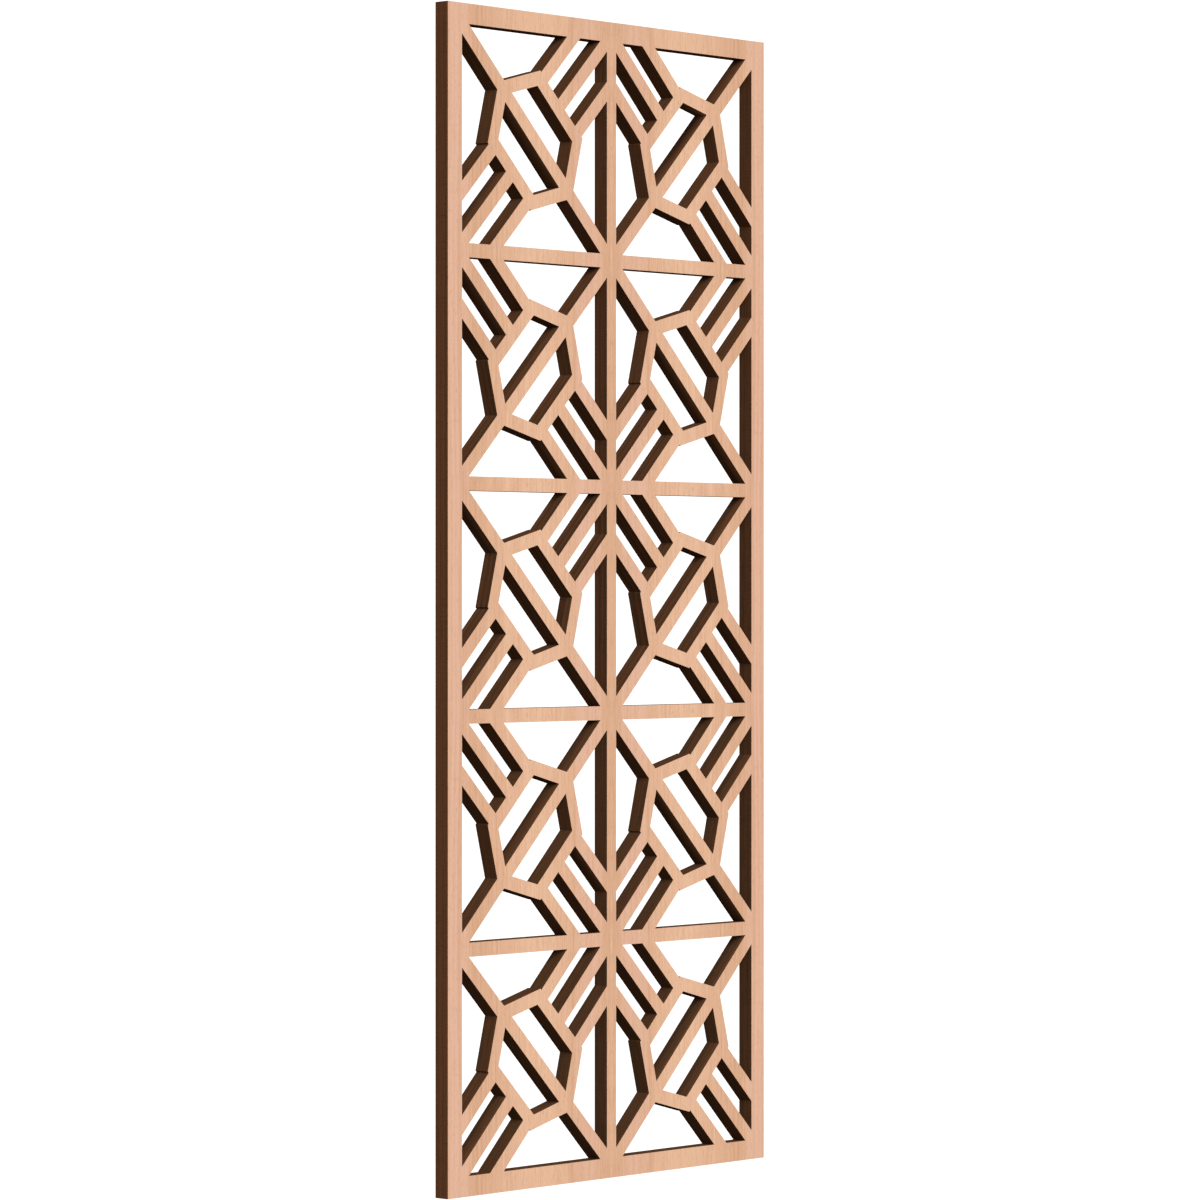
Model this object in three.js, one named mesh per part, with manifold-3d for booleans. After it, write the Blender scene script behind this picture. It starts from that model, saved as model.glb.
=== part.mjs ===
// A fretwork wall panel: one sheet of wood pierced with two columns of five square
// openings, each filled with a diagonal bar, a long hexagon around it and three stripes
// across it. Lengths are in millimetres.
// X runs to the right, Y back to the wall and Z up. The wall touches the back at y = 0,
// and the origin is the middle of the back.
import * as THREE from "three";
import { mergeVertices } from "three/addons/utils/BufferGeometryUtils.js";
import Module from "manifold-3d";

// The sheet and its framework
const SHEET_THICKNESS = 10;
const COLUMNS = 2;
const ROWS = 5;
const OPENING_WIDTH = 128.2;
const OPENING_HEIGHT = 128.2;
const BORDER_WIDTH = 12.1;
const RAIL_WIDTH = 8.4; // between neighbouring openings, upright and level alike

// The fretwork in one opening, measured from the opening's centre
const BAR_WIDTH = 8.4;
const HEXAGON_REACH = 41; // to the middle line's tip, along the diagonal bar
const HEXAGON_BREADTH = 28.4; // to the middle line of a long side, across the diagonal bar
const HEXAGON_TIP_ANGLE = 119; // degrees
const STRIPE_COUNT = 3;
const STRIPE_PITCH = 21.3;

// How far the cutters that pierce the sheet run past both of its faces
const CUTTER_EXCESS = 1;

// The face veneer
const WOOD_COLOUR = "#e2b498";
const WOOD_ROUGHNESS = 0.6;

// Sizes that follow from the ones above
const COLUMN_PITCH = OPENING_WIDTH + RAIL_WIDTH;
const ROW_PITCH = OPENING_HEIGHT + RAIL_WIDTH;
const PANEL_WIDTH = COLUMNS * COLUMN_PITCH - RAIL_WIDTH + 2 * BORDER_WIDTH;
const PANEL_HEIGHT = ROWS * ROW_PITCH - RAIL_WIDTH + 2 * BORDER_WIDTH;
const DIAGONAL_SLOPE = Math.atan2(OPENING_HEIGHT, OPENING_WIDTH); // radians
const BAR_LENGTH = 2 * Math.hypot(OPENING_WIDTH, OPENING_HEIGHT); // longer than any bar, cut later

const wasm = await Module();
wasm.setup();

// A closed three.js geometry as a solid that can be joined and cut.
function toSolid(geometry) {
  geometry.deleteAttribute("normal");
  geometry.deleteAttribute("uv");
  const merged = mergeVertices(geometry);
  const mesh = new wasm.Mesh({
    numProp: 3,
    vertProperties: merged.attributes.position.array,
    triVerts: new Uint32Array(merged.index.array),
  });
  return new wasm.Manifold(mesh);
}

// A solid back as a three.js geometry.
function toGeometry(solid) {
  const mesh = solid.getMesh();
  const geometry = new THREE.BufferGeometry();
  geometry.setAttribute("position", new THREE.BufferAttribute(mesh.vertProperties, 3));
  geometry.setIndex(new THREE.BufferAttribute(mesh.triVerts, 1));
  return geometry;
}

// A straight-sided outline through the points.
function outline(points) {
  return new THREE.Shape(points.map(([x, y]) => new THREE.Vector2(x, y)));
}

// A rectangle around a point of the level middle line.
function rectangle(width, height, x = 0) {
  return outline([
    [x - width / 2, -height / 2],
    [x + width / 2, -height / 2],
    [x + width / 2, height / 2],
    [x - width / 2, height / 2],
  ]);
}

// A hexagon around the middle line of the hexagon's bars, moved outwards by an offset.
function hexagon(offset) {
  const halfTip = THREE.MathUtils.degToRad(HEXAGON_TIP_ANGLE / 2);
  const tip = HEXAGON_REACH + offset / Math.sin(halfTip);
  const side = HEXAGON_BREADTH + offset;
  const shoulder = tip - side / Math.tan(halfTip);
  return outline([
    [tip, 0],
    [shoulder, side],
    [-shoulder, side],
    [-tip, 0],
    [-shoulder, -side],
    [shoulder, -side],
  ]);
}

// The shape as a solid of the given depth, from z = 0 upwards.
function extrude(shape, depth) {
  return new THREE.ExtrudeGeometry(shape, { depth, bevelEnabled: false });
}

// The shape as a cutter through the sheet, turned by a slope and then moved in its plane.
function cutter(shape, slope, x, y) {
  const geometry = extrude(shape, SHEET_THICKNESS + 2 * CUTTER_EXCESS);
  geometry.rotateZ(slope);
  geometry.translate(x, y, -CUTTER_EXCESS);
  return toSolid(geometry);
}

// The centre of every opening, with the slope of its diagonal bar. The bars of
// neighbouring openings slope opposite ways, the top left one down to the right.
function openings() {
  const all = [];
  for (let row = 0; row < ROWS; row++) {
    for (let column = 0; column < COLUMNS; column++) {
      all.push({
        x: (column - (COLUMNS - 1) / 2) * COLUMN_PITCH,
        y: ((ROWS - 1) / 2 - row) * ROW_PITCH,
        slope: (row + column) % 2 ? DIAGONAL_SLOPE : -DIAGONAL_SLOPE,
      });
    }
  }
  return all;
}

// The bars in one opening: the stripes cross it square to the diagonal bar, but leave
// the inside of the hexagon free for that bar.
function fretwork({ x, y, slope }) {
  let bars = cutter(hexagon(BAR_WIDTH / 2), slope, x, y);
  for (let i = 0; i < STRIPE_COUNT; i++) {
    const along = (i - (STRIPE_COUNT - 1) / 2) * STRIPE_PITCH;
    bars = bars.add(cutter(rectangle(BAR_WIDTH, BAR_LENGTH, along), slope, x, y));
  }
  const inside = cutter(hexagon(-BAR_WIDTH / 2), slope, x, y);
  const diagonal = cutter(rectangle(BAR_LENGTH, BAR_WIDTH), slope, x, y);
  return bars.subtract(inside).add(diagonal);
}

// What is sawn out of the sheet at one opening: all of it but the fretwork.
function gaps(opening) {
  const whole = cutter(rectangle(OPENING_WIDTH, OPENING_HEIGHT), 0, opening.x, opening.y);
  return whole.subtract(fretwork(opening));
}

// The pierced sheet, drawn flat and stood up with its back to the wall.
function panel() {
  let sheet = toSolid(extrude(rectangle(PANEL_WIDTH, PANEL_HEIGHT), SHEET_THICKNESS));
  for (const opening of openings()) {
    sheet = sheet.subtract(gaps(opening));
  }
  const wood = new THREE.MeshStandardMaterial({
    color: WOOD_COLOUR,
    roughness: WOOD_ROUGHNESS,
    metalness: 0,
    flatShading: true,
  });
  const mesh = new THREE.Mesh(toGeometry(sheet), wood);
  mesh.name = "fretwork_panel";
  mesh.rotation.x = Math.PI / 2;
  return mesh;
}

const group = new THREE.Group();
group.add(panel());

export default group;
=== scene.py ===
"""The looks of a fretwork wall panel: a pale veneered sheet with dark brown cut edges.

X runs to the right, Y back to the wall and Z up, in metres. The grain of the veneer
runs up the sheet, and the cut edges are striped along the sheet as its layers are.
"""
import math

import bmesh
import bpy
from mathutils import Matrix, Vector


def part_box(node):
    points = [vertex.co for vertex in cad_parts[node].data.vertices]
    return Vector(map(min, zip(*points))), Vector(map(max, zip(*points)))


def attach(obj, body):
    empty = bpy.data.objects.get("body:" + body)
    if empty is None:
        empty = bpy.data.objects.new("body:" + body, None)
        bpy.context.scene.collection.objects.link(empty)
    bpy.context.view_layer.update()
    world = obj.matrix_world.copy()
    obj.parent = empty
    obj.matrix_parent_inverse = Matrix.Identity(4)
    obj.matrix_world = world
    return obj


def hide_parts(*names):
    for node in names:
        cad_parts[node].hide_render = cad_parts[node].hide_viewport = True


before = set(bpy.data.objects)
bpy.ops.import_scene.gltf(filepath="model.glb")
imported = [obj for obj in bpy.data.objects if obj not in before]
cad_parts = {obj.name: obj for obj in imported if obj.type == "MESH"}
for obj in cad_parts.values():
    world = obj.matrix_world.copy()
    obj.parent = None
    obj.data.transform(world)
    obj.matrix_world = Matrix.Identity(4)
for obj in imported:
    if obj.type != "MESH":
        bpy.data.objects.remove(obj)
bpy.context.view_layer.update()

NODE = "fretwork_panel"
MM = 0.001

# The panel's geometry
WELD_DISTANCE = 0.001 * MM
FLAT_ANGLE = math.radians(1)
ARRIS_ANGLE = math.radians(60)
ARRIS_WIDTH = 0.15 * MM
ARRIS_SEGMENTS = 2
FACE_NORMAL_SHARE = 0.8  # a polygon whose normal has this much of Y counts as face, not edge

# The veneer's leaves: they mirror each other at the panel's middle line, and again halfway
# up, and broad stripes lie an even distance apart in each
STRIPE_PITCH = 116 * MM
LIGHT_OFFSET = 70 * MM  # from the middle line to the middle of a light stripe
PINK_OFFSET = 22 * MM  # from the middle line to the middle of a pink stripe

# The veneer's marks: how large each kind is along X, Y and Z
BAND_SIZE = (13 * MM, 13 * MM, 900 * MM)
STREAK_SIZE = (2.2 * MM, 2.2 * MM, 300 * MM)
FIBRE_SIZE = (0.7 * MM, 0.7 * MM, 14 * MM)
PORE_SIZE = (0.5 * MM, 0.5 * MM, 3 * MM)
BEND_SIZE = (45 * MM, 45 * MM, 200 * MM)
BEND_REACH = 4 * MM  # how far the grain bends to each side
VENEER_RELIEF = 0.06 * MM

# The marks on a cut through the sheet: its layers, the fibres in them and the burns across
LAYER_SIZE = (400 * MM, 1.2 * MM, 400 * MM)
LAYER_FIBRE_SIZE = (12 * MM, 0.6 * MM, 12 * MM)
BURN_SIZE = (0.6 * MM, 14 * MM, 0.6 * MM)
CUT_RELIEF = 0.04 * MM

# Colours, as linear red, green and blue
VENEER_LIGHT = (0.940, 0.590, 0.390, 1)
VENEER_DARK = (0.705, 0.388, 0.227, 1)
VENEER_PINK = (0.880, 0.530, 0.400, 1)
VENEER_PORE = (0.560, 0.300, 0.180, 1)
RIM_DARK = (0.122, 0.052, 0.024, 1)
RIM_LIGHT = (0.200, 0.078, 0.034, 1)
CUT_DARK = (0.069, 0.040, 0.021, 1)
CUT_LIGHT = (0.160, 0.060, 0.025, 1)
CHAR = (0.040, 0.020, 0.010, 1)
FLOOR_COLOUR = (0.90, 0.90, 0.89, 1)
WHITE = (1, 1, 1, 1)

# How much of the pink, of the pores' colour and of the char shows where each is strongest
PINK_SHARE = 0.6
PORE_SHARE = 0.5
CHAR_SHARE = 0.35

# Gloss: the veneer has a satin sheen, and the cuts are matt
VENEER_ROUGHNESS = (0.62, 0.50)  # of dark and of light grain
VENEER_SPECULAR = 0.3
CUT_ROUGHNESS = (0.85, 0.70)  # of clean and of burnt wood
CUT_SPECULAR = 0.0
FLOOR_ROUGHNESS = 0.9

# Camera, level with the middle of the panel and off to its left
CAMERA_PLACE = Vector((-2.2422, -1.9818, 0))
CAMERA_YAW = math.radians(48.537)  # from the panel's own front view, to the right
CAMERA_LENS = 148.1  # mm on a 36 mm sensor

# Light: a soft key from above the front and a little left of it, a smaller one from behind
# on the right, and a dim surround that is stronger above than below
KEY_FROM = Vector((-0.33, -0.85, 0.42))
KEY_STRENGTH = 2.78
KEY_SPREAD = math.radians(45)
BACK_FROM = Vector((0.55, 0.80, 0.25))
BACK_STRENGTH = 2.5
BACK_SPREAD = math.radians(15)
SURROUND_BELOW = 0.06
SURROUND_ABOVE = 0.34
BACKDROP_STRENGTH = 1.2  # over 1, so that the backdrop is pure white

# Floor, well below a panel that hangs
FLOOR_DROP = 0.8
FLOOR_SIDE = 6.0
FLOOR_GLOW = 0.25  # a lit studio floor is paler than the key light alone makes it


def add_node(tree, kind, inputs, **settings):
    """A shader node, with its settings and with each input set to a value or linked to a socket."""
    made = tree.nodes.new(kind)
    for name, value in settings.items():
        setattr(made, name, value)
    for name, value in inputs.items():
        if isinstance(value, bpy.types.NodeSocket):
            tree.links.new(value, made.inputs[name])
        else:
            made.inputs[name].default_value = value
    return made


def new_material(name):
    """A new material with its node tree, its shader and the place of each point in metres."""
    material = bpy.data.materials.new(name)
    material.use_nodes = True
    tree = material.node_tree
    tree.nodes.clear()
    shader = add_node(tree, "ShaderNodeBsdfPrincipled", {})
    add_node(tree, "ShaderNodeOutputMaterial", {"Surface": shader.outputs["BSDF"]})
    place = add_node(tree, "ShaderNodeTexCoord", {}).outputs["Object"]
    return material, tree, shader, place


def noise(tree, place, size, seed, detail=2.0):
    """Noise from 0 to 1, in patches of a size along X, Y and Z. Each seed has its own pattern."""
    stretched = add_node(
        tree,
        "ShaderNodeMapping",
        {
            "Vector": place,
            "Location": (seed, seed, seed),
            "Scale": tuple(1 / side for side in size),
        },
    )
    texture = add_node(
        tree,
        "ShaderNodeTexNoise",
        {"Vector": stretched.outputs["Vector"], "Scale": 1.0, "Detail": detail},
    )
    return texture.outputs["Fac"]


def wave(tree, place, pitch, crest):
    """Soft stripes along Z, from 0 to 1, a pitch apart with a crest at the given X."""
    texture = add_node(
        tree,
        "ShaderNodeTexWave",
        {
            "Vector": place,
            "Scale": math.tau / (20 * pitch),  # the texture has 20 radians in a unit
            "Phase Offset": math.pi - math.tau * crest / pitch,
        },
    )
    return texture.outputs["Fac"]


def remap(tree, value, start, end, at_start=0.0, at_end=1.0):
    """The value's range from start to end, spread evenly from at_start to at_end."""
    spread = add_node(
        tree,
        "ShaderNodeMapRange",
        {"Value": value, "From Min": start, "From Max": end, "To Min": at_start, "To Max": at_end},
    )
    return spread.outputs["Result"]


def total(tree, *parts):
    """The sum of values, each given with its weight."""
    value = 0.0
    for part, weight in parts:
        step = add_node(
            tree,
            "ShaderNodeMath",
            {0: part, 1: weight, 2: value},
            operation="MULTIPLY_ADD",
        )
        value = step.outputs["Value"]
    return value


def blend(tree, share, first, second):
    """A colour between two, by a share from 0 to 1."""
    mix = add_node(
        tree,
        "ShaderNodeMix",
        {0: share, 6: first, 7: second},  # 6 and 7 are the node's colours
        data_type="RGBA",
    )
    return mix.outputs[2]


def bump(tree, shader, height, depth):
    """A relief of the given depth in the shader's normal."""
    relief = add_node(
        tree,
        "ShaderNodeBump",
        {"Height": height, "Distance": depth, "Strength": 1.0},
    )
    tree.links.new(relief.outputs["Normal"], shader.inputs["Normal"])


def vector_math(tree, operation, *vectors):
    """The result of a vector operation on the vectors."""
    made = add_node(
        tree,
        "ShaderNodeVectorMath",
        dict(enumerate(vectors)),
        operation=operation,
    )
    return made.outputs["Vector"]


def matched(tree, place):
    """The place in one leaf of the veneer, of which the others are mirror images."""
    return vector_math(tree, "ABSOLUTE", place)


def bent(tree, place):
    """The place shifted a little across the grain, so that the grain bends gently."""
    drift = noise(tree, place, BEND_SIZE, seed=5.0, detail=1.0)
    shift = remap(tree, drift, 0.0, 1.0, -BEND_REACH, BEND_REACH)
    sideways = add_node(tree, "ShaderNodeCombineXYZ", {"X": shift})
    return vector_math(tree, "ADD", place, sideways.outputs["Vector"])


def veneer():
    """Straight-grained pale veneer: broad stripes, fine streaks, fibres and short dark pores."""
    material, tree, shader, place = new_material("veneer")
    grain = bent(tree, matched(tree, place))
    stripes = wave(tree, grain, STRIPE_PITCH, LIGHT_OFFSET)
    pink = wave(tree, grain, STRIPE_PITCH, PINK_OFFSET)
    bands = noise(tree, grain, BAND_SIZE, seed=9.5)
    streaks = noise(tree, grain, STREAK_SIZE, seed=3.1)
    fibres = noise(tree, grain, FIBRE_SIZE, seed=7.9)
    pores = noise(tree, grain, PORE_SIZE, seed=13.7, detail=1.0)

    shades = total(tree, (stripes, 0.40), (bands, 0.40), (streaks, 0.8), (fibres, 1.2))
    tone = remap(tree, shades, 0.90, 1.90)
    streaky_pink = total(tree, (pink, 2.0), (streaks, 0.6))
    wood = blend(tree, tone, VENEER_DARK, VENEER_LIGHT)
    wood = blend(tree, remap(tree, streaky_pink, 2.08, 2.38, at_end=PINK_SHARE), wood, VENEER_PINK)
    wood = blend(tree, remap(tree, pores, 0.58, 0.76, at_end=PORE_SHARE), wood, VENEER_PORE)
    tree.links.new(wood, shader.inputs["Base Color"])
    tree.links.new(remap(tree, tone, 0.2, 0.8, *VENEER_ROUGHNESS), shader.inputs["Roughness"])
    shader.inputs["Specular IOR Level"].default_value = VENEER_SPECULAR
    height = total(tree, (fibres, 0.6), (streaks, 0.3), (pores, -0.4))
    bump(tree, shader, height, VENEER_RELIEF)
    return material


def cut_edge(name, dark, light):
    """A cut through the sheet's layers: dark brown stripes along it, and burn marks across."""
    material, tree, shader, place = new_material(name)
    layers = noise(tree, place, LAYER_SIZE, seed=2.3)
    fibres = noise(tree, place, LAYER_FIBRE_SIZE, seed=4.9)
    burns = noise(tree, place, BURN_SIZE, seed=8.1)

    tone = remap(tree, total(tree, (layers, 0.6), (fibres, 0.4)), 0.36, 0.64)
    brown = blend(tree, tone, dark, light)
    brown = blend(tree, remap(tree, burns, 0.55, 0.80, at_end=CHAR_SHARE), brown, CHAR)
    tree.links.new(brown, shader.inputs["Base Color"])
    tree.links.new(remap(tree, burns, 0.3, 0.7, *CUT_ROUGHNESS), shader.inputs["Roughness"])
    shader.inputs["Specular IOR Level"].default_value = CUT_SPECULAR
    height = total(tree, (burns, 0.6), (fibres, 0.4))
    bump(tree, shader, height, CUT_RELIEF)
    return material


def is_arris(edge):
    """Whether an edge runs round the front or the back, between a face and a cut."""
    first, second = (vertex.co.y for vertex in edge.verts)
    level = abs(first - second) < WELD_DISTANCE
    return level and edge.calc_face_angle(0) > ARRIS_ANGLE


def eased_mesh(source):
    """The sheet's mesh with whole flat faces, and a fine arris round the front and the back."""
    work = bmesh.new()
    work.from_mesh(source.data)
    bmesh.ops.remove_doubles(work, verts=work.verts, dist=WELD_DISTANCE)
    bmesh.ops.dissolve_limit(
        work,
        angle_limit=FLAT_ANGLE,
        verts=work.verts,
        edges=work.edges,
    )
    bmesh.ops.bevel(
        work,
        geom=[edge for edge in work.edges if is_arris(edge)],
        offset=ARRIS_WIDTH,
        segments=ARRIS_SEGMENTS,
        profile=0.5,  # round
        affect="EDGES",
        clamp_overlap=True,
    )
    mesh = bpy.data.meshes.new(NODE + "_eased")
    work.to_mesh(mesh)
    work.free()
    return mesh


def surface(polygon, corner):
    """Which surface of the sheet a polygon belongs to, by the sheet's highest corner."""
    if abs(polygon.normal.y) > FACE_NORMAL_SHARE:
        return "veneer"
    on_side = abs(polygon.center.x) > corner.x - ARRIS_WIDTH
    on_end = abs(polygon.center.z) > corner.z - ARRIS_WIDTH
    return "rim" if on_side or on_end else "cut"


def dress(mesh):
    """Veneer on the front and the back, brown on the rim, and a darker brown on the fretwork."""
    materials = {
        "veneer": veneer(),
        "rim": cut_edge("rim", RIM_DARK, RIM_LIGHT),
        "cut": cut_edge("cut", CUT_DARK, CUT_LIGHT),
    }
    for material in materials.values():
        mesh.materials.append(material)
    slots = list(materials)
    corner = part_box(NODE)[1]
    for polygon in mesh.polygons:
        polygon.material_index = slots.index(surface(polygon, corner))


def make_panel():
    """The visible panel."""
    mesh = eased_mesh(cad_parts[NODE])
    dress(mesh)
    piece = bpy.data.objects.new("fretwork_sheet", mesh)
    bpy.context.collection.objects.link(piece)
    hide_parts(NODE)
    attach(piece, "root")


def make_floor():
    """A plain pale floor. It throws no light back, as the panel hangs well above it."""
    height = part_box(NODE)[0].z - FLOOR_DROP
    bpy.ops.mesh.primitive_plane_add(size=FLOOR_SIDE, location=(0, 0, height))
    floor = bpy.context.object
    floor.name = "floor"
    floor.visible_diffuse = False
    floor.visible_glossy = False
    material, _, shader, _ = new_material("floor")
    shader.inputs["Base Color"].default_value = FLOOR_COLOUR
    shader.inputs["Roughness"].default_value = FLOOR_ROUGHNESS
    shader.inputs["Emission Color"].default_value = FLOOR_COLOUR
    shader.inputs["Emission Strength"].default_value = FLOOR_GLOW
    floor.data.materials.append(material)


def make_light(name, direction, strength, spread):
    """A soft distant light that shines from the given direction."""
    data = bpy.data.lights.new(name, "SUN")
    data.energy = strength
    data.angle = spread
    light = bpy.data.objects.new(name, data)
    light.rotation_euler = direction.to_track_quat("Z", "Y").to_euler()
    bpy.context.collection.objects.link(light)


def make_surround():
    """A white backdrop that lights the panel only dimly, and more from above than from below."""
    world = bpy.data.worlds.new("surround")
    world.use_nodes = True
    tree = world.node_tree
    tree.nodes.clear()
    direction = add_node(tree, "ShaderNodeTexCoord", {}).outputs["Generated"]
    height = add_node(tree, "ShaderNodeSeparateXYZ", {"Vector": direction}).outputs["Z"]
    strength = remap(tree, height, -1.0, 1.0, SURROUND_BELOW, SURROUND_ABOVE)
    dim = add_node(tree, "ShaderNodeBackground", {"Color": WHITE, "Strength": strength})
    bright = add_node(tree, "ShaderNodeBackground", {"Color": WHITE, "Strength": BACKDROP_STRENGTH})
    seen = add_node(tree, "ShaderNodeLightPath", {}).outputs["Is Camera Ray"]
    mix = add_node(
        tree,
        "ShaderNodeMixShader",
        {0: seen, 1: dim.outputs["Background"], 2: bright.outputs["Background"]},
    )
    add_node(tree, "ShaderNodeOutputWorld", {"Surface": mix.outputs["Shader"]})
    bpy.context.scene.world = world


def make_camera():
    """The photograph's camera: level, far off, and turned towards the panel."""
    data = bpy.data.cameras.new("camera")
    data.lens = CAMERA_LENS
    camera = bpy.data.objects.new("camera", data)
    camera.location = CAMERA_PLACE
    camera.rotation_euler = (math.pi / 2, 0, -CAMERA_YAW)
    bpy.context.collection.objects.link(camera)
    bpy.context.scene.camera = camera


make_camera()
make_light("key", KEY_FROM, KEY_STRENGTH, KEY_SPREAD)
make_light("back", BACK_FROM, BACK_STRENGTH, BACK_SPREAD)
make_surround()
make_floor()
make_panel()
bpy.context.scene.view_settings.view_transform = "Standard"
